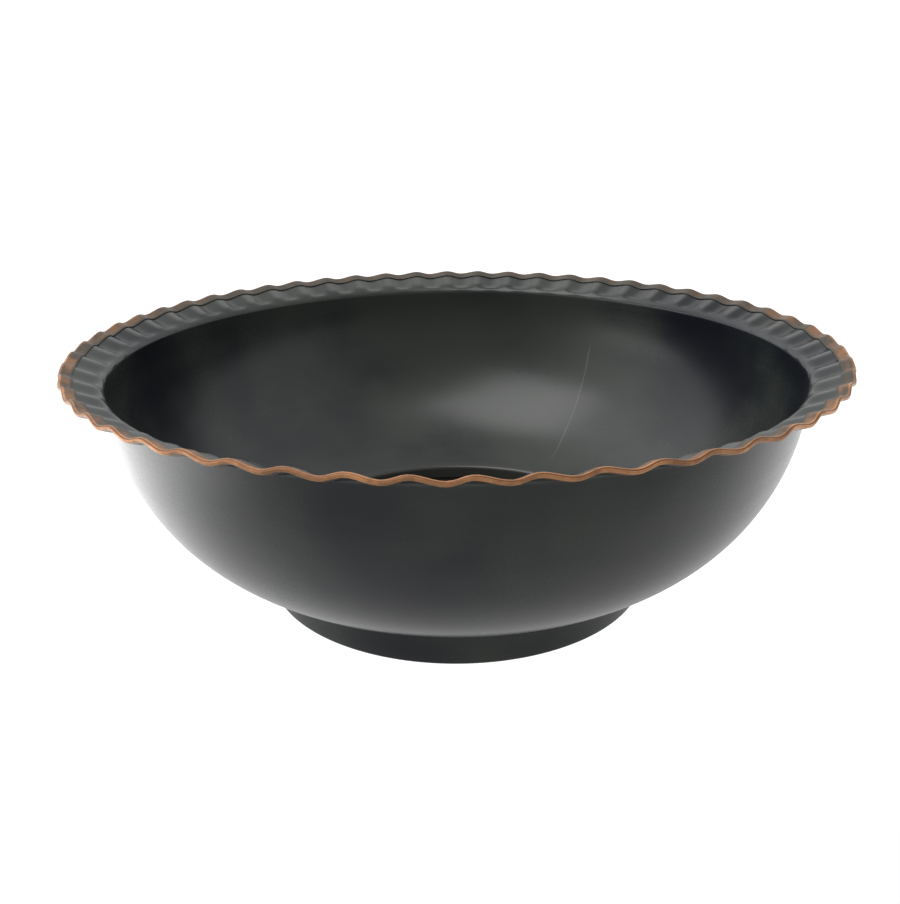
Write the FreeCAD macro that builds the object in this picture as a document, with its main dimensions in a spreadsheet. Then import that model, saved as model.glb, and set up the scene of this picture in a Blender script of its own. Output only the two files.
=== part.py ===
import FreeCAD, Part
import math
import os

import Sketcher

# A wide, footed copper bowl. A spun shell ends in a short collar that drops into a shallow pan,
# which is both the foot and the well inside the bowl. The shell's flange is fluted all round,
# and a folded strip of bare copper binds its edge.
# Millimetres, +Z up, origin at the centre of the circle that the foot stands on.

DRIVING_SIZES = [
    # alias, value, what it is
    ("rim_radius", 200.0, "outside of the rim binding"),
    ("rim_height", 135.0, "mean height of the rim's outer edge"),
    ("sheet", 0.9, "thickness of the shell's sheet"),
    ("flange_slope", 24.0, "degrees that the flange rises outwards"),
    ("flange_plain", 0.4, "from the neck bend's centre out to the flutes"),
    ("flute_count", 55, "flutes round the rim"),
    ("flute_swing", 1.08, "half the height of a flute at the rim"),
    ("flute_lean", 0.16, "how much shorter a flute's rise is than its fall"),
    ("flute_turn", 0.47, "degrees from -Y towards +X that the flutes start at"),
    ("flute_drift", 1.57, "degrees that the flutes crowd round from the front to the back"),
    ("neck_radius", 181.0, "outside of the shell below the flange"),
    ("neck_bend", 3.6, "underside radius of the bend into the flange"),
    ("belly_radius", 114.1, "outside radius of the belly's arc"),
    ("belly_height", 124.1, "height of the belly's widest point"),
    ("belly_angle", 32.3, "degrees from the widest point down to the lower arc"),
    ("lower_radius", 104.8, "outside radius of the lower arc"),
    ("foot_radius", 106.5, "outside of the foot"),
    ("foot_wall_top", 17.6, "height of the foot pan's wall"),
    ("pan_sheet", 0.9, "thickness of the pan's sheet"),
    ("pan_corner", 1.6, "outside radius of the pan's bottom corner"),
    ("pan_stand", 9.0, "width of the ring that the pan stands on"),
    ("pan_rise", 1.0, "height that the pan's floor is dished up"),
    ("pan_step", 6.0, "width of the slope up to the dished floor"),
    ("collar_bend", 1.8, "underside radius of the bend into the collar"),
    ("collar_bottom", 12.0, "height of the collar's lower edge"),
    ("lap_gap", 0.05, "solder film between collar and pan wall"),
    ("solder_leg", 1.4, "leg of the solder fillet under the shell"),
    ("binding_width", 6.3, "width of the binding's two legs"),
    ("binding_sheet", 0.6, "thickness of the binding's strip"),
    ("binding_gap", 0.05, "room between binding and flange"),
]
STATIONS_PER_FLUTE = 4
AXIS = FreeCAD.Vector(0, 0, 1)
CENTRE = FreeCAD.Vector(0, 0, 0)

doc = FreeCAD.newDocument("footed_bowl")


def make_sheet():
    sheet = doc.addObject("Spreadsheet::Sheet", "sizes")
    for row, (alias, value, note) in enumerate(DRIVING_SIZES, start=1):
        sheet.set(f"A{row}", note)
        sheet.set(f"B{row}", str(value))
        sheet.setAlias(f"B{row}", alias)
    doc.recompute()
    return sheet


sheet = make_sheet()


def size(alias):
    return float(sheet.get(alias))


def at(radius, height):
    """A point of the section, in the plane through the axis and +X."""
    return FreeCAD.Vector(radius, 0, height)


def towards(angle):
    """A unit step in the section, at an angle in degrees above +X."""
    return at(math.cos(math.radians(angle)), math.sin(math.radians(angle)))


def line(start, end):
    return Part.LineSegment(start, end).toShape()


def arc(centre, radius, start_angle, end_angle):
    """An arc about a centre of the section, between two angles in degrees."""
    middle_angle = (start_angle + end_angle) / 2
    angles = (start_angle, middle_angle, end_angle)
    points = [centre + towards(angle) * radius for angle in angles]
    return Part.Arc(*points).toShape()


def joined(edges):
    return Part.Wire(Part.__sortEdges__(edges))


class ShellSection:
    """Where the arcs of the shell's section have their centres. Offset 0 is the outside."""

    def __init__(self):
        slope = math.radians(size("flange_slope"))
        self.slope = size("flange_slope")
        self.rim = at(size("rim_radius"), size("rim_height"))
        belly = size("belly_radius")
        self.belly_angle = size("belly_angle")
        self.belly_centre = at(size("neck_radius") - belly, size("belly_height"))

        # The neck bend touches the belly's arc from outside and the flange from below.
        bend = size("neck_bend")
        along = towards(self.slope)
        below = self.rim - towards(90 + self.slope) * (size("sheet") / 2 + bend)
        across = below - self.belly_centre
        reach = belly + bend
        inward = across.dot(along) - math.sqrt(across.dot(along) ** 2 - across.Length ** 2 + reach ** 2)
        self.neck_centre = below - along * inward
        from_belly = self.neck_centre - self.belly_centre
        self.neck_angle = math.degrees(math.atan2(from_belly.z, from_belly.x))

        shift = belly - size("lower_radius")
        self.lower_centre = self.belly_centre + towards(-self.belly_angle) * shift

        self.collar_radius = size("foot_radius") - size("pan_sheet") - size("lap_gap")
        collar_bend = size("collar_bend")
        reach = size("lower_radius") + collar_bend
        across = self.collar_radius + collar_bend - self.lower_centre.x
        self.lower_angle = math.degrees(math.acos(across / reach))
        self.collar_centre = self.lower_centre + towards(-self.lower_angle) * reach

        plain = self.neck_centre.x + size("flange_plain")
        self.flute_root = self.rim - towards(self.slope) * ((self.rim.x - plain) / math.cos(slope))

    def wall(self, offset):
        """The edges from the collar's foot to the flange, on the surface at an offset."""
        collar_radius = self.collar_radius - offset
        bend_start = self.neck_centre + towards(90 + self.slope) * (size("neck_bend") + offset)
        root = self.flute_root + towards(90 + self.slope) * (offset - size("sheet") / 2)
        return [
            line(at(collar_radius, size("collar_bottom")), at(collar_radius, self.collar_centre.z)),
            arc(self.collar_centre, size("collar_bend") + offset, 180, 180 - self.lower_angle),
            arc(self.lower_centre, size("lower_radius") - offset, -self.lower_angle, -self.belly_angle),
            arc(self.belly_centre, size("belly_radius") - offset, -self.belly_angle, self.neck_angle),
            arc(self.neck_centre, size("neck_bend") + offset, 180 + self.neck_angle, 90 + self.slope),
            line(bend_start, root),
        ]

    def rim_slope(self, rise):
        """The slope of the fluted part of the flange where its edge is lifted by a rise."""
        lifted = self.rim + at(0, rise) - self.flute_root
        return math.degrees(math.atan2(lifted.z, lifted.x))


def shell_wire(section, rise):
    """The whole section of the shell, with the flange's edge lifted by a rise."""
    thickness = size("sheet")
    plain_normal = towards(90 + section.slope)
    slope = section.rim_slope(rise)
    normal = towards(90 + slope)
    fold_radius = size("binding_sheet") + size("binding_gap") + thickness / 2
    edge = section.rim + at(0, rise) - towards(slope) * fold_radius
    root_under = section.flute_root - plain_normal * (thickness / 2)
    root_top = section.flute_root + plain_normal * (thickness / 2)
    edge_under = edge - normal * (thickness / 2)
    edge_top = edge + normal * (thickness / 2)
    collar_out = at(section.collar_radius, size("collar_bottom"))
    collar_in = at(section.collar_radius - thickness, size("collar_bottom"))
    closing = [
        line(root_under, edge_under),
        line(edge_under, edge_top),
        line(edge_top, root_top),
        line(collar_in, collar_out),
    ]
    return joined(section.wall(0) + closing + section.wall(thickness))


def binding_wire(section, rise):
    """The binding's folded section: two legs and a round fold over the flange's edge."""
    slope = section.rim_slope(rise)
    along = towards(slope)
    normal = towards(90 + slope)
    inner = size("sheet") / 2 + size("binding_gap")
    outer = inner + size("binding_sheet")
    fold = section.rim + at(0, rise) - along * outer
    leg_end = section.rim + at(0, rise) - along * size("binding_width")
    return joined([
        arc(fold, outer, slope - 90, slope + 90),
        line(fold + normal * outer, leg_end + normal * outer),
        line(leg_end + normal * outer, leg_end + normal * inner),
        line(leg_end + normal * inner, fold + normal * inner),
        arc(fold, inner, slope + 90, slope - 90),
        line(fold - normal * inner, leg_end - normal * inner),
        line(leg_end - normal * inner, leg_end - normal * outer),
        line(leg_end - normal * outer, fold - normal * outer),
    ])


def fluted_ring(label, section, wire_at):
    """A solid through a section that rises and falls with the flutes, all the way round."""
    stations = int(size("flute_count")) * STATIONS_PER_FLUTE
    wires = []
    for station in range(stations):
        phase = 2 * math.pi * station / STATIONS_PER_FLUTE
        leaning = phase + size("flute_lean") * (1 - math.cos(phase))
        wire = wire_at(section, -size("flute_swing") * math.cos(leaning))
        even = size("flute_turn") + 360 * station / stations
        drift = size("flute_drift") * math.cos(math.radians(even))
        wire.rotate(CENTRE, AXIS, even - drift - 90)
        wires.append(wire)
    ring = doc.addObject("Part::Feature", label)
    ring.Label = label
    ring.Shape = Part.makeLoft(wires, True, False, True)
    ring.Placement = FreeCAD.Placement(CENTRE, FreeCAD.Rotation())
    return ring


def solder_ring(label, section):
    """The fillet of solder in the corner between the shell's underside and the pan's wall."""
    foot = size("foot_radius")
    top = size("foot_wall_top")
    leg = size("solder_leg")
    collar = section.collar_radius
    reach = foot + leg - section.lower_centre.x
    outer_angle = math.degrees(math.acos(reach / size("lower_radius")))
    on_shell = section.lower_centre + towards(-outer_angle) * size("lower_radius")
    on_wall = at(foot, top - leg)
    hollow = at(foot + leg * 0.3, (on_wall.z + on_shell.z) / 2 + leg * 0.2)
    wire = joined([
        line(at(collar, section.collar_centre.z), at(collar, top)),
        line(at(collar, top), at(foot, top)),
        line(at(foot, top), on_wall),
        Part.Arc(on_wall, hollow, on_shell).toShape(),
        arc(section.lower_centre, size("lower_radius"), -outer_angle, -section.lower_angle),
        arc(section.collar_centre, size("collar_bend"), 180 - section.lower_angle, 180),
    ])
    ring = doc.addObject("Part::Feature", label)
    ring.Label = label
    ring.Shape = Part.Face(wire).revolve(CENTRE, AXIS, 360)
    ring.Placement = FreeCAD.Placement(CENTRE, FreeCAD.Rotation())
    return ring


def total(terms):
    """The sum of some sizes, each alias with a minus sign in front where it counts down."""
    return sum(-size(term[1:]) if term.startswith("-") else size(term) for term in terms)


def formula(terms):
    """The same sum as an expression on the sheet."""
    signed = [f"- sizes.{term[1:]}" if term.startswith("-") else f"+ sizes.{term}" for term in terms]
    return "0 " + " ".join(signed)


def origin_plane(body, role):
    return next(feature for feature in body.Origin.OriginFeatures if feature.Role == role)


def place_corner(sketch, edge, name, across, up):
    """Holds an edge's first point at its distances from the axis and the base, from the sheet."""
    for axis, kind, line_below, terms in (("x", "DistanceX", -2, across), ("z", "DistanceY", -1, up)):
        if not terms:
            sketch.addConstraint(Sketcher.Constraint("PointOnObject", edge, 1, line_below))
            continue
        index = sketch.addConstraint(Sketcher.Constraint(kind, -1, 1, edge, 1, total(terms)))
        sketch.renameConstraint(index, f"{name}_{axis}")
        sketch.setExpression(f"Constraints.{name}_{axis}", formula(terms))


def draw_outline(sketch, corners):
    """A closed outline of straight lines through named corners."""
    points = [FreeCAD.Vector(total(across), total(up), 0) for name, across, up in corners]
    ends = points[1:] + points[:1]
    edges = [sketch.addGeometry(Part.LineSegment(*pair), False) for pair in zip(points, ends)]
    for edge, following in zip(edges, edges[1:] + edges[:1]):
        sketch.addConstraint(Sketcher.Constraint("Coincident", edge, 2, following, 1))
    for edge, (name, across, up) in zip(edges, corners):
        place_corner(sketch, edge, name, across, up)


def circle_edge(shape, radius, height):
    """The name of the level round edge with this radius at this height."""
    for index, edge in enumerate(shape.Edges, start=1):
        is_round = isinstance(edge.Curve, Part.Circle) and abs(edge.Curve.Radius - radius) < 0.001
        if is_round and abs(edge.Curve.Center.z - height) < 0.001:
            return f"Edge{index}"
    raise ValueError(f"no round edge of radius {radius} at {height}")


def round_off(body, name, base, edge, radius_terms):
    fillet = body.newObject("PartDesign::Fillet", name)
    fillet.Base = (base, [edge])
    fillet.Radius = total(radius_terms)
    fillet.setExpression("Radius", formula(radius_terms))
    doc.recompute()
    if fillet.Shape.Volume == base.Shape.Volume:
        raise ValueError(f"{name} changed nothing")
    return fillet


def foot_pan(label):
    """The pan: standing ring, floor dished up off the table, and the wall that holds the collar."""
    floor = ("pan_sheet",)
    stand = ("foot_radius", "-pan_stand")
    dish = stand + ("-pan_step",)
    inside = ("foot_radius", "-pan_sheet")
    corners = [
        ("middle_under", (), ("pan_rise",)),
        ("dish_under", dish, ("pan_rise",)),
        ("stand_inner", stand, ()),
        ("stand_outer", ("foot_radius",), ()),
        ("wall_top_outer", ("foot_radius",), ("foot_wall_top",)),
        ("wall_top_inner", inside, ("foot_wall_top",)),
        ("floor_outer", inside, floor),
        ("floor_inner", stand, floor),
        ("dish_top", dish, floor + ("pan_rise",)),
        ("middle_top", (), floor + ("pan_rise",)),
    ]
    body = doc.addObject("PartDesign::Body", label)
    body.Label = label
    sketch = body.newObject("Sketcher::SketchObject", "pan_section")
    sketch.AttachmentSupport = [(origin_plane(body, "XZ_Plane"), "")]
    sketch.MapMode = "FlatFace"
    draw_outline(sketch, corners)
    turned = body.newObject("PartDesign::Revolution", "pan_turned")
    turned.Profile = sketch
    turned.ReferenceAxis = (sketch, ["V_Axis"])
    turned.Angle = 360
    doc.recompute()
    outer_edge = circle_edge(turned.Shape, total(("foot_radius",)), 0)
    outer = round_off(body, "corner_outside", turned, outer_edge, ("pan_corner",))
    inner_edge = circle_edge(outer.Shape, total(inside), total(floor))
    round_off(body, "corner_inside", outer, inner_edge, ("pan_corner", "-pan_sheet"))
    body.Placement = FreeCAD.Placement(CENTRE, FreeCAD.Rotation())
    return body


def check(pieces):
    for item in doc.Objects:
        if "Invalid" in item.State or "Error" in item.State:
            raise ValueError(f"{item.Label} failed: {item.State}")
    for piece in pieces:
        shape = piece.Shape
        if shape.isNull() or not shape.isValid() or len(shape.Solids) != 1:
            raise ValueError(f"{piece.Label} isn't one valid solid")
        print(piece.Label, "volume", round(shape.Volume), "mm3,", shape.BoundBox)


def main():
    section = ShellSection()
    pieces = [
        fluted_ring("bowl_shell", section, shell_wire),
        fluted_ring("rim_binding", section, binding_wire),
        foot_pan("foot_pan"),
        solder_ring("foot_solder", section),
    ]
    doc.recompute()
    check(pieces)
    os.makedirs("parts", exist_ok=True)
    for piece in pieces:
        piece.Shape.exportStep(f"parts/{piece.Label}.step")


main()
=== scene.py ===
import math

import bmesh
import bpy
from bpy.props import FloatProperty, FloatVectorProperty, IntProperty, PointerProperty
from mathutils import Matrix, Vector


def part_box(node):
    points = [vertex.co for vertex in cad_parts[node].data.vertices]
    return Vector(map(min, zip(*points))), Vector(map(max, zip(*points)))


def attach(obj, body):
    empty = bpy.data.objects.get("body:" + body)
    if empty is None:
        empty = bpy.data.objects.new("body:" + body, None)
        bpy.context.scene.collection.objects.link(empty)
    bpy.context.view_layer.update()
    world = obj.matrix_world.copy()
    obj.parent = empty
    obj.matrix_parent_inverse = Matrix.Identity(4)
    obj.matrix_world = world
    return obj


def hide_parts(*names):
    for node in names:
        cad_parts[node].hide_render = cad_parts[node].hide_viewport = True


# A blackened copper bowl on a low foot. Its flange is fluted all round and bound in bare copper.
# Metres, +Z up, the foot standing on z = 0, the front towards -Y.

bl_info = {
    "name": "Footed Bowl",
    "version": (1, 0, 0),
    "blender": (4, 5, 0),
    "location": "View3D > Sidebar > Bowl",
    "description": "Builds a fluted, footed copper bowl over its packed CAD model",
    "category": "Add Mesh",
}

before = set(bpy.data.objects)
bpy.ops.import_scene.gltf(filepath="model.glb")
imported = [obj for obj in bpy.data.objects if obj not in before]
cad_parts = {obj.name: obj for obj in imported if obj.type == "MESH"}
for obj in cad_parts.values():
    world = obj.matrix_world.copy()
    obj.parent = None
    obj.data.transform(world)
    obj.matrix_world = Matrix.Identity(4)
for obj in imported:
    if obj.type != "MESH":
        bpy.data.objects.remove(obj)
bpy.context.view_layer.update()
FOOT_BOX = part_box("foot_pan")
WHITE = (1.0, 1.0, 1.0, 1.0)


def length(name, description, default):
    """A length, in metres, that a user can change."""
    return FloatProperty(
        name=name, description=description, default=default, unit="LENGTH", precision=5)


def turn(name, description, degrees):
    """An angle that a user can change."""
    return FloatProperty(
        name=name, description=description, default=math.radians(degrees), unit="ROTATION")


def spot(name, description, x, y, z):
    """A place in the room, in metres, that a user can change."""
    return FloatVectorProperty(
        name=name, description=description, default=(x, y, z), subtype="TRANSLATION")


def number(name, description, default):
    """A plain number that a user can change."""
    return FloatProperty(name=name, description=description, default=default)


def count(name, description, default):
    """A count that a user can change."""
    return IntProperty(name=name, description=description, default=default, min=1)


def colour(name, description, red, green, blue):
    """A colour that a user can change."""
    return FloatVectorProperty(
        name=name, description=description, default=(red, green, blue), subtype="COLOR", min=0, max=1)


class BowlShellSizes(bpy.types.PropertyGroup):
    """The spun shell."""

    rim_radius: length("Rim radius", "Middle of the flange's sheet at the rim", 0.2)
    rim_height: length("Rim height", "Middle of the flange's sheet at the rim", 0.135)
    sheet: length("Sheet", "Thickness of the shell's sheet", 0.0009)
    neck_radius: length("Neck radius", "Outside of the shell below the flange", 0.181)
    neck_bend: length("Neck bend", "Underside radius of the bend into the flange", 0.0036)
    belly_radius: length("Belly radius", "Outside radius of the belly's arc", 0.1141)
    belly_height: length("Belly height", "Height of the belly's widest point", 0.1241)
    belly_angle: turn("Belly angle", "From the widest point down to the lower arc", 32.3)
    lower_radius: length("Lower radius", "Outside radius of the lower arc", 0.1048)
    flange_slope: turn("Flange slope", "How steeply the flange rises outwards", 24)
    collar_bend: length("Collar bend", "Underside radius of the bend into the collar", 0.0018)
    collar_bottom: length("Collar bottom", "Height of the collar's lower edge", 0.012)
    lap_gap: length("Lap gap", "Solder film between the collar and the pan's wall", 0.00005)


class BowlFluteSizes(bpy.types.PropertyGroup):
    """The flutes of the flange."""

    flutes: count("Flutes", "Flutes round the rim", 55)
    steps: count("Steps", "Straight steps that one flute is made of", 10)
    swing: length("Swing", "Half the height of a flute at the rim", 0.00108)
    lean: number("Lean", "How much shorter a flute's rise is than its fall", 0.16)
    root_radius: length("Root radius", "Radius at which the flutes start", 0.1815)
    start: turn("Start", "Angle from the front at which the flutes start", 0.47)
    drift: turn("Drift", "How far the flutes crowd round from the front to the back", 1.57)
    start_reach: number("Start reach", "Share of the flange over which the flutes set in", 0.22)
    start_share: number("Start share", "Height of a flute where it has set in, next to the rim's", 1.1)


class BowlBindingSizes(bpy.types.PropertyGroup):
    """The folded strip on the rim."""

    width: length("Width", "Width of the binding's legs", 0.0063)
    sheet: length("Strip", "Thickness of the binding's strip", 0.0006)
    gap: length("Gap", "Room between the binding and the flange", 0.00005)
    lift: length("Lift", "How far the upper leg stands off the flange in a flute's trough", 0.00005)
    edge_bevel: length("Edge bevel", "Rounding of the strip's cut edges", 0.00025)


class BowlPanSizes(bpy.types.PropertyGroup):
    """The pan that is the foot and the well."""

    sheet: length("Sheet", "Thickness of the pan's sheet", 0.0009)
    wall_top: length("Wall top", "Height of the pan's wall", FOOT_BOX[1].z)
    corner: length("Corner", "Outside radius of the pan's bottom corner", 0.0016)
    stand: length("Stand", "Width of the ring that the pan stands on", 0.009)
    rise: length("Rise", "How far the pan's floor is dished up", 0.001)
    step: length("Step", "Width of the slope up to the dished floor", 0.006)
    solder_leg: length("Solder leg", "Leg of the solder fillet under the shell", 0.0014)


class BowlScratchSizes(bpy.types.PropertyGroup):
    """The faint scratch inside the shell."""

    direction: turn("Direction", "Angle of the scratch from the back round to the right", 32.3)
    bottom: length("Bottom", "Height of its lower end", 0.022)
    top: length("Top", "Height of its upper end", 0.098)
    fade: length("Fade", "Height over which each end fades", 0.012)
    width: length("Width", "Half the scratch's width", 0.0005)
    wander: length("Wander", "How far it strays from a straight line", 0.003)
    strength: number("Strength", "How clearly it shows", 0.8)


class BowlFinishes(bpy.types.PropertyGroup):
    """The colours of the metal."""

    patina: colour("Patina", "Blackened copper", 0.004, 0.005, 0.008)
    worn_patina: colour("Worn patina", "Blackened copper rubbed by cloths", 0.024, 0.028, 0.024)
    # Lighter on the flutes' crests: partly rubbing and partly a painted highlight.
    crest_wear_and_highlight_patina: colour("Rubbed patina", "Blackened copper on the flutes' crests", 0.05, 0.052, 0.048)
    # Partly dust and partly painted light: the well's walls are lightened as if they caught more light.
    well_dust_and_light_patina: colour("Dusty patina", "Blackened copper on the well's walls", 0.04, 0.04, 0.036)
    scratched_patina: colour("Scratched patina", "Blackened copper in a scratch", 0.09, 0.09, 0.08)
    copper: colour("Copper", "Bare rubbed copper", 0.42, 0.20, 0.085)
    # The brown and the nearly black copper are also painted shade at the back of the rim and along the
    # leg's cut edge.
    brown_copper_and_shade: colour("Brown copper", "Copper that has gone brown", 0.21, 0.10, 0.045)
    dark_copper_and_shade: colour("Dark copper", "Copper that is nearly black", 0.05, 0.045, 0.036)
    # Painted reflection: a dark band of the room along the fold, not a crease in the copper.
    painted_reflection_copper: colour("Creased copper", "Copper along the middle of the fold", 0.10, 0.035, 0.012)
    solder: colour("Solder", "Darkened solder", 0.10, 0.10, 0.10)
    floor: colour("Floor", "The pale floor", 0.5, 0.5, 0.5)
    backdrop: colour("Backdrop", "The floor as the camera sees it", 0.25, 0.25, 0.25)


class BowlStageSizes(bpy.types.PropertyGroup):
    """The floor, the lights and the camera."""

    camera_back: length("Camera back", "How far in front of the bowl's axis the camera stands", 0.4987)
    camera_height: length("Camera height", "Height of the camera", 0.25863)
    camera_down: turn("Camera down", "How far the camera looks down", 20.729)
    camera_left: turn("Camera left", "How far the camera looks to the left", 0.411)
    camera_roll: turn("Camera roll", "How far the camera is rolled", -0.563)
    lens: number("Lens", "Focal length in millimetres", 37.77)
    floor_size: length("Floor", "Half the width of the floor", 12.0)
    backdrop_drop: length("Backdrop drop", "How far the backdrop lies under the floor", 0.0002)
    key_power: number("Key light", "Power of the softbox above, in front and to the left, in watts", 10.0)
    key_place: spot("Key place", "Where the softbox above hangs", -0.38, -0.30, 1.15)
    key_target: spot("Key target", "What the softbox above faces", 0.0, 0.0, 0.05)
    key_size: length("Key size", "Width and height of the softbox above", 0.85)
    low_power: number("Low light", "Power of the softbox low down on the left, in watts", 1.8)
    low_place: spot("Low place", "Where the low softbox stands", -0.9, -0.15, 0.15)
    low_target: spot("Low target", "What the low softbox faces", 0.0, 0.0, 0.08)
    low_width: length("Low width", "Width of the low softbox", 0.7)
    low_height: length("Low height", "Height of the low softbox", 0.26)
    seen_light: number("Room as seen", "Brightness of the room as the camera sees it", 1.2)
    room_light: number("Room", "Brightness of the room all round", 0.34)
    back_light: number("Back wall", "How much brighter the back wall is", 0.55)
    left_light: number("Left wall", "How much brighter the left wall is", 1.6)
    right_light: number("Right wall", "How much brighter the right wall is", 0.8)
    ceiling_light: number("Ceiling", "How much brighter the ceiling is", 0.5)
    front_glow: number("Front glow", "How much the floor in front is lit from below", 0.0)
    side_glow: number("Side glow", "How much the floor beside the bowl is lit from below", 1.0)
    left_glow: number("Left glow", "How much the floor on the left is lit from below", 2.9)
    glow_place: length("Glow place", "How far to the left the floor is brightest", 0.5)
    glow_spread: length("Glow spread", "How far the brighter floor reaches", 0.38)
    backdrop_glow: number("Backdrop glow", "How white the floor stays in shadow", 0.92)


# ---------------------------------------------------------------------------------------------
# Shapes

CENTRE = Vector((0, 0, 0))
UP = Vector((0, 0, 1))
SECTION_AXIS = Vector((0, 1, 0))
FULL_TURN = 2 * math.pi
RIGHT_ANGLE = math.pi / 2
SHADING_ANGLE = math.radians(35)  # edges that turn by more are shaded sharp
CUT_ANGLE = math.radians(60)  # edges that turn by more are the strip's cut edges
MERGE_DISTANCE = 1e-6
LEAST_REACH = 0.001  # keeps the flutes' swing finite at their root
PAN_STEPS = 288  # round the pan and the solder
FILLET_OUT, FILLET_UP = 0.3, 0.2  # where the middle of the fillet's face lies, next to its leg


def at(radius, height):
    """A point of the section, in the plane through the axis and +X."""
    return Vector((radius, 0, height))


def towards(angle):
    """A unit step in the section, at an angle above +X."""
    return at(math.cos(angle), math.sin(angle))


class Section:
    """Where the shell's arcs have their centres and where its flutes start."""

    def __init__(self, settings):
        shell = settings.bowl_shell
        self.slope = shell.flange_slope
        self.rim = at(shell.rim_radius, shell.rim_height)
        self.foot_radius = (FOOT_BOX[1].x - FOOT_BOX[0].x) / 2
        self.belly_centre = at(shell.neck_radius - shell.belly_radius, shell.belly_height)

        # The neck bend touches the belly's arc from outside and the flange from below.
        along = towards(self.slope)
        below = self.rim - towards(RIGHT_ANGLE + self.slope) * (shell.sheet / 2 + shell.neck_bend)
        across = below - self.belly_centre
        reach = shell.belly_radius + shell.neck_bend
        beside = math.sqrt(across.dot(along) ** 2 - across.length_squared + reach ** 2)
        self.neck_centre = below - along * (across.dot(along) - beside)
        from_belly = self.neck_centre - self.belly_centre
        self.neck_angle = math.atan2(from_belly.z, from_belly.x)

        shift = shell.belly_radius - shell.lower_radius
        self.lower_centre = self.belly_centre + towards(-shell.belly_angle) * shift

        self.collar_radius = self.foot_radius - settings.bowl_pan.sheet - shell.lap_gap
        reach = shell.lower_radius + shell.collar_bend
        across = self.collar_radius + shell.collar_bend - self.lower_centre.x
        self.lower_angle = math.acos(across / reach)
        self.collar_centre = self.lower_centre + towards(-self.lower_angle) * reach

        fluted = self.rim.x - settings.bowl_flutes.root_radius
        self.root = self.rim - towards(self.slope) * (fluted / math.cos(self.slope))


class Outline:
    """A line drawn in the section from vertex to vertex, then turned about the axis."""

    def __init__(self, start):
        self.mesh = bmesh.new()
        self.end = self.mesh.verts.new(start)

    def run(self, place, cuts=1):
        """Goes straight to a place, in equal steps."""
        step = (place - self.end.co) / cuts
        for _ in range(cuts):
            made = bmesh.ops.extrude_vert_indiv(self.mesh, verts=[self.end])
            self.end = made["verts"][0]
            bmesh.ops.translate(self.mesh, verts=[self.end], vec=step)

    def bend(self, centre, angle, steps):
        """Goes round a centre. A positive angle turns from +Z towards +X."""
        made = bmesh.ops.spin(
            self.mesh, geom=[self.end], cent=centre, axis=SECTION_AXIS, angle=angle, steps=steps)
        self.end = next(item for item in made["geom_last"] if isinstance(item, bmesh.types.BMVert))

    def turned(self, steps):
        """The surface that the line sweeps, its faces pointing away from the axis."""
        line = self.mesh.verts[:] + self.mesh.edges[:]
        bmesh.ops.spin(
            self.mesh, geom=line, cent=CENTRE, axis=UP, angle=FULL_TURN, steps=steps, use_merge=True)
        bmesh.ops.remove_doubles(self.mesh, verts=self.mesh.verts[:], dist=MERGE_DISTANCE)
        bmesh.ops.recalc_face_normals(self.mesh, faces=self.mesh.faces[:])
        self.mesh.normal_update()
        steepest = min(self.mesh.faces, key=lambda face: abs(face.normal.z))
        if steepest.normal.dot(steepest.calc_center_median()) < 0:
            bmesh.ops.reverse_faces(self.mesh, faces=self.mesh.faces[:])
        return self.mesh


class Flutes:
    """How the flutes lift the flange as one goes round it."""

    def __init__(self, settings, section):
        self.sizes = settings.bowl_flutes
        self.root = section.root
        self.span = (section.rim - section.root).length
        self.steps = self.sizes.flutes * self.sizes.steps

    def wave(self, place):
        """From -1 in a trough to 1 on a crest."""
        sizes = self.sizes
        angle = math.atan2(place.x, -place.y)
        even = angle
        for _ in range(3):  # the drifted angle settles in three rounds
            even = angle + sizes.drift * math.cos(even)
        phase = sizes.flutes * (even - sizes.start)
        leaning = phase + sizes.lean * (1 - math.cos(phase))
        return -math.cos(leaning)

    def lift(self, vert):
        """Swings a point up or down about the flutes' root. Gives -1 in a trough to 1 on a crest."""
        radius = math.hypot(vert.co.x, vert.co.y)
        beyond = at(radius, vert.co.z) - self.root
        if beyond.x <= 0:
            return 0.0
        reach = max(LEAST_REACH, beyond.length / self.span)
        start = min(1, reach / self.sizes.start_reach)
        share = self.sizes.start_share * start * start * (3 - 2 * start)
        share += (1 - self.sizes.start_share) * reach
        height = self.wave(vert.co) * share
        angle = height * self.sizes.swing / (reach * self.span)
        swung = self.root + beyond @ Matrix.Rotation(angle, 3, "Y")
        vert.co = Vector((vert.co.x * swung.x / radius, vert.co.y * swung.x / radius, swung.z))
        return height


def thicken(mesh, thickness):
    """Gives a turned sheet its thickness, on the side away from where its faces point."""
    bmesh.ops.solidify(mesh, geom=mesh.faces[:], thickness=thickness)
    bmesh.ops.recalc_face_normals(mesh, faces=mesh.faces[:])


def soften(mesh, edges, offset, segments):
    """Rounds edges off."""
    bmesh.ops.bevel(
        mesh, geom=edges, offset=offset, offset_type="OFFSET", segments=segments,
        profile=0.5, affect="EDGES", material=-1, clamp_overlap=True)


def sharp_edges(mesh, angle):
    """The edges that turn by more than an angle."""
    return [edge for edge in mesh.edges if edge.is_manifold and edge.calc_face_angle(0) > angle]


def made_piece(name, mesh, material, node):
    """Makes an object of a finished mesh, in place of a CAD node."""
    data = bpy.data.meshes.new(name)
    mesh.to_mesh(data)
    mesh.free()
    data.shade_smooth()
    data.set_sharp_from_angle(angle=SHADING_ANGLE)
    data.materials.append(material)
    piece = bpy.data.objects.new(name, data)
    bpy.context.scene.collection.objects.link(piece)
    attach(piece, "root")
    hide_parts(node)


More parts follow.
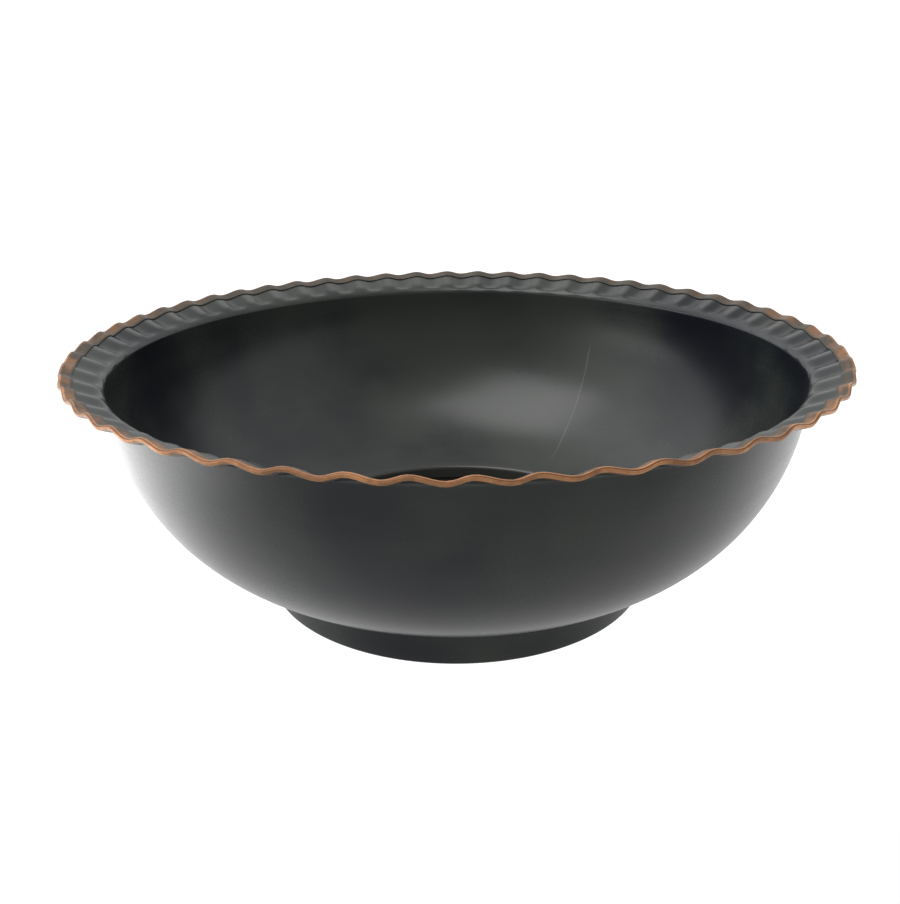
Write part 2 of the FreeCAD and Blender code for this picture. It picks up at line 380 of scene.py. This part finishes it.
def shell_mesh(settings):
    """The shell, drawn along its outside from the collar's lower edge up to the rim."""
    section = Section(settings)
    shell = settings.bowl_shell
    binding = settings.bowl_binding
    flutes = Flutes(settings, section)
    below = towards(RIGHT_ANGLE + section.slope) * (shell.sheet / 2)
    fold = binding.sheet + binding.gap + shell.sheet / 2
    rim = section.rim - towards(section.slope) * fold - below
    outline = Outline(at(section.collar_radius, shell.collar_bottom))
    outline.run(at(section.collar_radius, section.collar_centre.z), cuts=3)
    outline.bend(section.collar_centre, section.lower_angle, steps=8)
    outline.bend(section.lower_centre, shell.belly_angle - section.lower_angle, steps=18)
    outline.bend(section.belly_centre, -shell.belly_angle - section.neck_angle, steps=16)
    outline.bend(section.neck_centre, RIGHT_ANGLE + section.neck_angle - section.slope, steps=10)
    outline.run(rim, cuts=10)
    mesh = outline.turned(flutes.steps)
    crest = mesh.verts.layers.float.new("crest")
    for vert in mesh.verts:
        vert[crest] = flutes.lift(vert)
    mesh.normal_update()
    thicken(mesh, shell.sheet)
    return mesh


def binding_mesh(settings):
    """The strip, drawn along its outside: out under the flange, round its edge and back on top."""
    section = Section(settings)
    binding = settings.bowl_binding
    flutes = Flutes(settings, section)
    outer = settings.bowl_shell.sheet / 2 + binding.gap + binding.sheet
    along = towards(section.slope)
    normal = towards(RIGHT_ANGLE + section.slope)
    fold = section.rim - along * outer
    leg_end = section.rim - along * binding.width
    outline = Outline(leg_end - normal * outer)
    outline.run(fold - normal * outer, cuts=4)
    outline.bend(fold, -math.pi, steps=10)
    outline.run(leg_end + normal * outer, cuts=4)
    mesh = outline.turned(flutes.steps)
    leg_length = binding.width - outer
    for name in ("outward", "upward"):
        mesh.verts.layers.float.new(name)
    outward, upward = mesh.verts.layers.float["outward"], mesh.verts.layers.float["upward"]
    # The finish reads where a point lies on the fold, from before the flutes move it.
    for vert in mesh.verts:
        place = at(math.hypot(vert.co.x, vert.co.y), vert.co.z) - fold
        vert[outward] = place.dot(along) / outer
        vert[upward] = place.dot(normal) / outer
        back = max(0, -place.dot(along)) / leg_length
        if place.dot(normal) > 0:
            vert.co.z += binding.lift * back * (1 - flutes.wave(vert.co)) / 2
        flutes.lift(vert)
    mesh.normal_update()
    thicken(mesh, binding.sheet)
    soften(mesh, sharp_edges(mesh, CUT_ANGLE), binding.edge_bevel, segments=3)
    return mesh


def pan_mesh(settings):
    """The pan, drawn along its underside from the middle of its floor out and up to its wall's top."""
    section = Section(settings)
    pan = settings.bowl_pan
    radius = section.foot_radius
    stand = radius - pan.stand
    dish = stand - pan.step
    outline = Outline(at(0, pan.rise))
    outline.run(at(dish, pan.rise), cuts=12)
    outline.run(at(stand, 0), cuts=2)
    outline.run(at(radius - pan.corner, 0), cuts=2)
    outline.bend(at(radius - pan.corner, pan.corner), -RIGHT_ANGLE, steps=8)
    outline.run(at(radius, pan.wall_top), cuts=4)
    mesh = outline.turned(PAN_STEPS)
    thicken(mesh, pan.sheet)
    return mesh


def solder_mesh(settings):
    """The solder, a closed ring drawn from its upper outer edge round under the shell and back."""
    section = Section(settings)
    shell = settings.bowl_shell
    pan = settings.bowl_pan
    foot = section.foot_radius
    leg = pan.solder_leg
    across = foot + leg - section.lower_centre.x
    outer_angle = math.acos(across / shell.lower_radius)
    on_shell = section.lower_centre + towards(-outer_angle) * shell.lower_radius
    outline = Outline(on_shell)
    outline.bend(section.lower_centre, section.lower_angle - outer_angle, steps=4)
    outline.bend(section.collar_centre, -section.lower_angle, steps=6)
    outline.run(at(section.collar_radius, pan.wall_top))
    outline.run(at(foot, pan.wall_top))
    outline.run(at(foot, pan.wall_top - leg), cuts=2)
    halfway = (pan.wall_top - leg + on_shell.z) / 2
    outline.run(at(foot + leg * FILLET_OUT, halfway + leg * FILLET_UP))
    outline.run(on_shell)
    mesh = outline.turned(PAN_STEPS)
    bmesh.ops.recalc_face_normals(mesh, faces=mesh.faces[:])
    return mesh


# ---------------------------------------------------------------------------------------------
# Materials

FINE_LINES, BROAD_LINES = 600.0, 110.0  # turning lines to a metre
LINE_CHANGE = 1.7  # how much a turning line changes on its way round
LINE_DEPTH = 0.000009
PITTING_DEPTH = 0.00003
SOLDER_GRAIN_DEPTH = 0.0001
WELL_FADE = 0.004  # height over which the well's dust and painted light thin out above the foot


class Field:
    """A number that changes over a surface. Arithmetic with fields adds Math nodes."""

    def __init__(self, nodes, socket):
        self.nodes = nodes
        self.socket = socket

    def __add__(self, other):
        return self.nodes.math("ADD", self, other)

    def __sub__(self, other):
        return self.nodes.math("SUBTRACT", self, other)

    def __rsub__(self, other):
        return self.nodes.math("SUBTRACT", other, self)

    def __mul__(self, other):
        return self.nodes.math("MULTIPLY", self, other)

    def __truediv__(self, other):
        return self.nodes.math("DIVIDE", self, other)

    def __pow__(self, other):
        return self.nodes.math("POWER", self, other)

    __radd__ = __add__
    __rmul__ = __mul__


class Nodes:
    """A node tree, emptied, to which nodes are added one at a time."""

    def __init__(self, tree):
        self.tree = tree
        self.tree.nodes.clear()

    def node(self, kind, settings=None, sockets=None):
        """Adds a node: its settings are set first, then its sockets get values or links."""
        made = self.tree.nodes.new(kind)
        for name, value in (settings or {}).items():
            setattr(made, name, value)
        for name, value in (sockets or {}).items():
            if isinstance(value, Field):
                value = value.socket
            if isinstance(value, bpy.types.NodeSocket):
                self.tree.links.new(value, made.inputs[name])
            else:
                made.inputs[name].default_value = value
        return made

    def math(self, operation, first, second):
        """A Math node on two numbers or fields."""
        made = self.node("ShaderNodeMath", {"operation": operation}, {0: first, 1: second})
        return Field(self, made.outputs[0])

    def noise(self, vector, scale, detail=3.0, roughness=0.5):
        """Soft random clouds between 0 and 1, scale of them to a metre."""
        sockets = {"Vector": vector, "Scale": scale, "Detail": detail, "Roughness": roughness}
        return Field(self, self.node("ShaderNodeTexNoise", sockets=sockets).outputs["Fac"])

    def step(self, field, low, high):
        """0 below low, 1 above high, and a smooth change between them."""
        settings = {"interpolation_type": "SMOOTHSTEP"}
        sockets = {"Value": field, "From Min": low, "From Max": high}
        return Field(self, self.node("ShaderNodeMapRange", settings, sockets).outputs["Result"])

    def mix(self, amount, first, second):
        """One colour where amount is 0, the other where it is 1."""
        sockets = {0: amount, 6: first, 7: second}
        return self.node("ShaderNodeMix", {"data_type": "RGBA"}, sockets).outputs[2]


class Finish(Nodes):
    """One material of the bowl, its patterns laid out from the bowl's own centre."""

    def __init__(self, name, level_top=1.0):
        self.level_top = level_top  # above it the turning lines follow the radius alone
        self.material = bpy.data.materials.new(name)
        self.material.use_nodes = True
        super().__init__(self.material.node_tree)
        coordinates = self.node("ShaderNodeTexCoord").outputs
        self.place = coordinates["Object"]
        self.facing = coordinates["Normal"]
        parts = self.node("ShaderNodeSeparateXYZ", sockets={"Vector": self.place}).outputs
        self.x, self.y, self.z = (Field(self, part) for part in parts)
        self.radius = (self.x * self.x + self.y * self.y) ** 0.5

    def attribute(self, name):
        """A number that the mesh stores at each point."""
        made = self.node("ShaderNodeAttribute", {"attribute_name": name})
        return Field(self, made.outputs["Fac"])

    def rings(self, per_metre):
        """Lines that run round the axis, as turning leaves them, and change slowly on their way."""
        level = self.math("MINIMUM", self.z, self.level_top)
        along = self.x / self.radius * LINE_CHANGE
        sockets = {0: self.radius * per_metre, 1: level * per_metre, 2: along}
        across = self.node("ShaderNodeCombineXYZ", sockets=sockets).outputs[0]
        return self.noise(across, scale=1.0, detail=2.0)

    def inward(self):
        """1 on the walls that face the axis, 0 elsewhere."""
        parts = self.node("ShaderNodeSeparateXYZ", sockets={"Vector": self.facing}).outputs
        outward = Field(self, parts[0]) * self.x + Field(self, parts[1]) * self.y
        return 1 - self.step(outward, low=-0.01, high=0.0)

    def scratch(self, sizes):
        """1 in a faint scratch that runs down the inside of the wall, 0 elsewhere."""
        across = self.x * math.cos(sizes.direction) - self.y * math.sin(sizes.direction)
        across += (self.noise(self.place, scale=30.0) - 0.5) * sizes.wander
        line = 1 - self.step(across * across, 0.0, sizes.width ** 2)
        above = self.step(self.z, sizes.bottom, sizes.bottom + sizes.fade)
        below = 1 - self.step(self.z, sizes.top - sizes.fade, sizes.top)
        at_back = self.step(self.y, low=0.0, high=0.01)
        return line * above * below * self.inward() * at_back * sizes.strength

    def bump(self, height, distance):
        """The normal of a surface whose height varies by up to a distance."""
        sockets = {"Height": height, "Distance": distance}
        return self.node("ShaderNodeBump", sockets=sockets).outputs[0]

    def surface(self, sockets):
        """Ends the material in one shader."""
        shader = self.node("ShaderNodeBsdfPrincipled", sockets=sockets)
        self.node("ShaderNodeOutputMaterial", sockets={"Surface": shader.outputs[0]})
        return self.material


def rgba(value):
    """A colour with its alpha."""
    return (*value, 1.0)


def grey(value):
    """A grey with its alpha."""
    return rgba([value] * 3)


def patina_finish(name, settings):
    """Blackened copper: thin dark patina, clouded, with the fine level lines that turning leaves. The
    flutes' crests are lighter, partly rubbing and partly painted highlight, and the well's walls are
    lighter, partly dust and partly painted light.
    """
    colours = settings.bowl_finishes
    finish = Finish(name, settings.bowl_shell.belly_height)
    clouds = finish.noise(finish.place, scale=9.0)
    specks = finish.noise(finish.place, scale=160.0, detail=5.0, roughness=0.65)
    fine = finish.rings(FINE_LINES)
    broad = finish.rings(BROAD_LINES)
    worn = finish.step(clouds * 0.92 + broad * 0.08, low=0.38, high=0.66)
    tone = finish.mix(worn, rgba(colours.patina), rgba(colours.worn_patina))
    # Partly rubbing and partly painted highlight: the crests of the flutes are lightened.
    crest = finish.step(finish.attribute("crest") + clouds * 0.4, low=0.80, high=1.40)
    tone = finish.mix(crest, tone, rgba(colours.crest_wear_and_highlight_patina))
    # Painted light, partly dust: the walls of the well inside the foot are lightened as if lit.
    well = 1 - finish.step(finish.z, FOOT_BOX[1].z, FOOT_BOX[1].z + WELL_FADE)
    tone = finish.mix(well * finish.inward(), tone, rgba(colours.well_dust_and_light_patina))
    scratch = finish.scratch(settings.bowl_scratch)
    tone = finish.mix(scratch, tone, rgba(colours.scratched_patina))
    roughness = 0.15 + clouds * 0.16 + fine * 0.04 + specks * 0.04
    height = fine * 0.7 + broad * 0.2 + specks * 0.1
    return finish.surface({
        "Base Color": tone,
        "Metallic": 0.0,
        "Roughness": roughness,
        "IOR": 1.4,
        "Anisotropic": 0.4,
        "Normal": finish.bump(height, LINE_DEPTH),
    })


def copper_finish(name, settings):
    """Copper, bare and rubbed on the fold, and gone brown on the leg that lies on the flange, with
    painted shade at the back, a painted shadow along the leg's cut edge and a painted dark reflection
    along the fold.
    """
    colours = settings.bowl_finishes
    finish = Finish(name)
    outward, upward = finish.attribute("outward"), finish.attribute("upward")
    bare, brown, dark = (
        rgba(tone) for tone in (colours.copper, colours.brown_copper_and_shade, colours.dark_copper_and_shade))
    clouds = finish.noise(finish.place, scale=45.0, detail=4.0, roughness=0.6)
    specks = finish.noise(finish.place, scale=300.0, detail=4.0, roughness=0.6)
    mottled = clouds * 0.7 + specks * 0.3
    rubbed = finish.step(mottled, low=0.40, high=0.62)

    # Painted shade: the leg is darkened at the back, and a painted shadow runs along its cut edge.
    leg_tone = finish.mix(rubbed, dark, brown)
    leg_tone = finish.mix(finish.step(finish.y, low=-0.05, high=0.15) * 0.85, leg_tone, dark)
    # Painted shadow of the seam where the leg's cut edge lies on the flange.
    cut_edge_shadow = 1 - finish.step(outward + mottled, low=-3.8, high=-2.6)
    leg_tone = finish.mix(cut_edge_shadow, leg_tone, dark)

    # Painted shade: the fold is browner at the back. A painted dark reflection runs a little above its
    # middle.
    fold_tone = finish.mix(rubbed, brown, bare)
    fold_tone = finish.mix(finish.step(finish.y, low=-0.10, high=0.06) * 0.8, fold_tone, brown)
    # Painted reflection: a dark band of the room, a little above the fold's middle.
    over_reflection_band = finish.step(upward, low=0.55, high=0.80)
    reflection_band = finish.step(upward, low=0.10, high=0.35) * (1 - over_reflection_band)
    fold_tone = finish.mix(reflection_band, fold_tone, rgba(colours.painted_reflection_copper))

    on_fold = finish.step(outward + mottled * 0.6, low=0.1, high=0.7)
    tone = finish.mix(on_fold, leg_tone, fold_tone)
    return finish.surface({
        "Base Color": tone,
        "Metallic": 0.6,
        "Roughness": 0.46 - rubbed * 0.08 + specks * 0.08,
        "Normal": finish.bump(specks, PITTING_DEPTH),
    })


def solder_finish(name, colours):
    """Dull, darkened solder."""
    finish = Finish(name)
    grains = finish.noise(finish.place, scale=300.0, detail=4.0, roughness=0.6)
    tone = finish.mix(grains, rgba(colours.patina), rgba(colours.solder))
    return finish.surface({
        "Base Color": tone,
        "Metallic": 0.6,
        "Roughness": 0.45 + grains * 0.15,
        "Normal": finish.bump(grains, SOLDER_GRAIN_DEPTH),
    })


def floor_finish(name, settings):
    """Pale floor that lights the bowl from below: dim in front, brighter beside and on the left."""
    stage = settings.bowl_stage
    finish = Finish(name)
    across = finish.x + stage.glow_place
    away = (across * across + finish.y * finish.y) ** 0.5
    on_left = 1 - finish.step(away, stage.glow_spread * 0.3, stage.glow_spread)
    beside_bowl = finish.step(finish.y, low=-0.30, high=0.05)
    glow = finish.mix(beside_bowl, grey(stage.front_glow), grey(stage.side_glow))
    return finish.surface({
        "Base Color": rgba(settings.bowl_finishes.floor),
        "Roughness": 0.9,
        "Specular IOR Level": 0.0,
        "Emission Color": finish.mix(on_left, glow, grey(stage.left_glow)),
        "Emission Strength": 1.0,
    })


def backdrop_finish(name, settings):
    """The floor as the camera sees it, faintly clouded and nearly white."""
    finish = Finish(name)
    clouds = finish.noise(finish.place, scale=3.0, detail=2.0)
    tone = finish.mix(clouds * 0.1, rgba(settings.bowl_finishes.backdrop), WHITE)
    return finish.surface({
        "Base Color": tone,
        "Roughness": 0.9,
        "Specular IOR Level": 0.0,
        "Emission Color": WHITE,
        "Emission Strength": settings.bowl_stage.backdrop_glow,
    })


# ---------------------------------------------------------------------------------------------
# The stage

SENSOR_WIDTH = 36.0  # millimetres
CLIP_START = 0.01
WALL_EDGE, WALL_MIDDLE = 0.45, 0.95  # where a wall's light starts and is full, as cosines
WALLS = {
    "back_light": (0, 1, 0.3),
    "left_light": (-1, 0.2, 0.4),
    "right_light": (1, 0.1, 0.2),
    "ceiling_light": (0, 0.15, 1),
}


def add_plane(name, settings, height, material):
    """A level square as wide as the floor."""
    mesh = bmesh.new()
    bmesh.ops.create_grid(mesh, x_segments=1, y_segments=1, size=settings.bowl_stage.floor_size)
    bmesh.ops.translate(mesh, verts=mesh.verts[:], vec=at(0, height))
    data = bpy.data.meshes.new(name)
    mesh.to_mesh(data)
    mesh.free()
    data.materials.append(material)
    plane = bpy.data.objects.new(name, data)
    bpy.context.scene.collection.objects.link(plane)
    return plane


def add_floor(settings):
    """One plane lights the bowl and shows in its metal, and another is what the camera sees."""
    floor = add_plane("floor", settings, 0, floor_finish("pale_floor", settings))
    floor.visible_camera = False
    white = backdrop_finish("white_backdrop", settings)
    backdrop = add_plane("backdrop", settings, -settings.bowl_stage.backdrop_drop, white)
    for rays in ("diffuse", "glossy", "shadow"):
        setattr(backdrop, "visible_" + rays, False)


def add_softbox(name, place, target, width, height, power):
    """A rectangular soft light at a place, facing a target."""
    light = bpy.data.lights.new(name, "AREA")
    light.shape = "RECTANGLE"
    light.size = width
    light.size_y = height
    light.energy = power
    softbox = bpy.data.objects.new(name, light)
    softbox.location = place
    softbox.rotation_mode = "QUATERNION"
    softbox.rotation_quaternion = (Vector(target) - Vector(place)).to_track_quat("-Z", "Y")
    bpy.context.scene.collection.objects.link(softbox)


def add_room(settings):
    """A white room to the camera. The metal sees its walls and ceiling, each with its own light."""
    stage = settings.bowl_stage
    world = bpy.data.worlds.new("room")
    world.use_nodes = True
    room = Nodes(world.node_tree)
    direction = room.node("ShaderNodeTexCoord").outputs["Generated"]
    light = stage.room_light
    for wall, facing in WALLS.items():
        sockets = {0: direction, 1: Vector(facing).normalized()}
        made = room.node("ShaderNodeVectorMath", {"operation": "DOT_PRODUCT"}, sockets)
        bright = room.step(Field(room, made.outputs["Value"]), WALL_EDGE, WALL_MIDDLE)
        light = bright * getattr(stage, wall) + light
    sockets = {"Color": WHITE, "Strength": stage.seen_light}
    seen = room.node("ShaderNodeBackground", sockets=sockets)
    lit = room.node("ShaderNodeBackground", sockets={"Color": WHITE, "Strength": light})
    camera_ray = room.node("ShaderNodeLightPath").outputs["Is Camera Ray"]
    sockets = {0: camera_ray, 1: lit.outputs[0], 2: seen.outputs[0]}
    mixed = room.node("ShaderNodeMixShader", sockets=sockets)
    room.node("ShaderNodeOutputWorld", sockets={"Surface": mixed.outputs[0]})
    bpy.context.scene.world = world


def add_lights(settings):
    """One softbox above the bowl and one low down beside it."""
    stage = settings.bowl_stage
    size = stage.key_size
    add_softbox("key", stage.key_place, stage.key_target, size, size, stage.key_power)
    add_softbox(
        "low", stage.low_place, stage.low_target, stage.low_width, stage.low_height, stage.low_power)


def add_camera(settings):
    """The camera, turned to the left, then tipped down, then rolled."""
    stage = settings.bowl_stage
    data = bpy.data.cameras.new("camera")
    data.lens = stage.lens
    data.sensor_width = SENSOR_WIDTH
    data.clip_start = CLIP_START
    camera = bpy.data.objects.new("camera", data)
    turned = Matrix.Rotation(stage.camera_left, 4, "Z")
    tipped = Matrix.Rotation(RIGHT_ANGLE - stage.camera_down, 4, "X")
    rolled = Matrix.Rotation(stage.camera_roll, 4, "Z")
    place = Matrix.Translation((0, -stage.camera_back, stage.camera_height))
    camera.matrix_world = place @ turned @ tipped @ rolled
    bpy.context.scene.collection.objects.link(camera)
    bpy.context.scene.camera = camera


# ---------------------------------------------------------------------------------------------
# Operators, panel and registration

class BOWL_OT_shell(bpy.types.Operator):
    """Build the spun shell with its fluted flange"""

    bl_idname = "bowl.shell"
    bl_label = "Shell"

    def execute(self, context):
        scene = context.scene
        material = patina_finish("shell_patina", scene)
        made_piece("spun_shell", shell_mesh(scene), material, "bowl_shell")
        return {"FINISHED"}


class BOWL_OT_binding(bpy.types.Operator):
    """Build the folded copper strip on the rim"""

    bl_idname = "bowl.binding"
    bl_label = "Rim binding"

    def execute(self, context):
        scene = context.scene
        material = copper_finish("rubbed_copper", scene)
        made_piece("folded_binding", binding_mesh(scene), material, "rim_binding")
        return {"FINISHED"}


class BOWL_OT_pan(bpy.types.Operator):
    """Build the pan that is the foot and the well"""

    bl_idname = "bowl.pan"
    bl_label = "Foot pan"

    def execute(self, context):
        scene = context.scene
        material = patina_finish("pan_patina", scene)
        made_piece("spun_pan", pan_mesh(scene), material, "foot_pan")
        return {"FINISHED"}


class BOWL_OT_solder(bpy.types.Operator):
    """Build the solder fillet between the shell and the pan"""

    bl_idname = "bowl.solder"
    bl_label = "Foot solder"

    def execute(self, context):
        scene = context.scene
        material = solder_finish("darkened_solder", scene.bowl_finishes)
        made_piece("solder_fillet", solder_mesh(scene), material, "foot_solder")
        return {"FINISHED"}


class BOWL_OT_stage(bpy.types.Operator):
    """Add the floor, the lights and the camera"""

    bl_idname = "bowl.stage"
    bl_label = "Stage"

    def execute(self, context):
        scene = context.scene
        add_floor(scene)
        add_room(scene)
        add_lights(scene)
        add_camera(scene)
        scene.view_settings.view_transform = "Standard"
        return {"FINISHED"}


class BOWL_PT_build(bpy.types.Panel):
    """The bowl's pieces and sizes"""

    bl_idname = "BOWL_PT_build"
    bl_label = "Footed bowl"
    bl_space_type = "VIEW_3D"
    bl_region_type = "UI"
    bl_category = "Bowl"

    def draw(self, context):
        for operator in OPERATORS:
            self.layout.operator(operator.bl_idname)
        for name, group in SETTINGS.items():
            box = self.layout.box()
            for field in group.__annotations__:
                box.prop(getattr(context.scene, name), field)


SETTINGS = {
    "bowl_shell": BowlShellSizes,
    "bowl_flutes": BowlFluteSizes,
    "bowl_binding": BowlBindingSizes,
    "bowl_pan": BowlPanSizes,
    "bowl_scratch": BowlScratchSizes,
    "bowl_finishes": BowlFinishes,
    "bowl_stage": BowlStageSizes,
}
OPERATORS = (BOWL_OT_shell, BOWL_OT_binding, BOWL_OT_pan, BOWL_OT_solder, BOWL_OT_stage)


def register():
    for kind in (*SETTINGS.values(), *OPERATORS, BOWL_PT_build):
        bpy.utils.register_class(kind)
    for name, group in SETTINGS.items():
        setattr(bpy.types.Scene, name, PointerProperty(type=group))


def unregister():
    for name in SETTINGS:
        delattr(bpy.types.Scene, name)
    for kind in (BOWL_PT_build, *OPERATORS, *SETTINGS.values()):
        bpy.utils.unregister_class(kind)


def main():
    register()
    bpy.ops.bowl.shell()
    bpy.ops.bowl.binding()
    bpy.ops.bowl.pan()
    bpy.ops.bowl.solder()
    bpy.ops.bowl.stage()


if __name__ == "__main__":
    main()
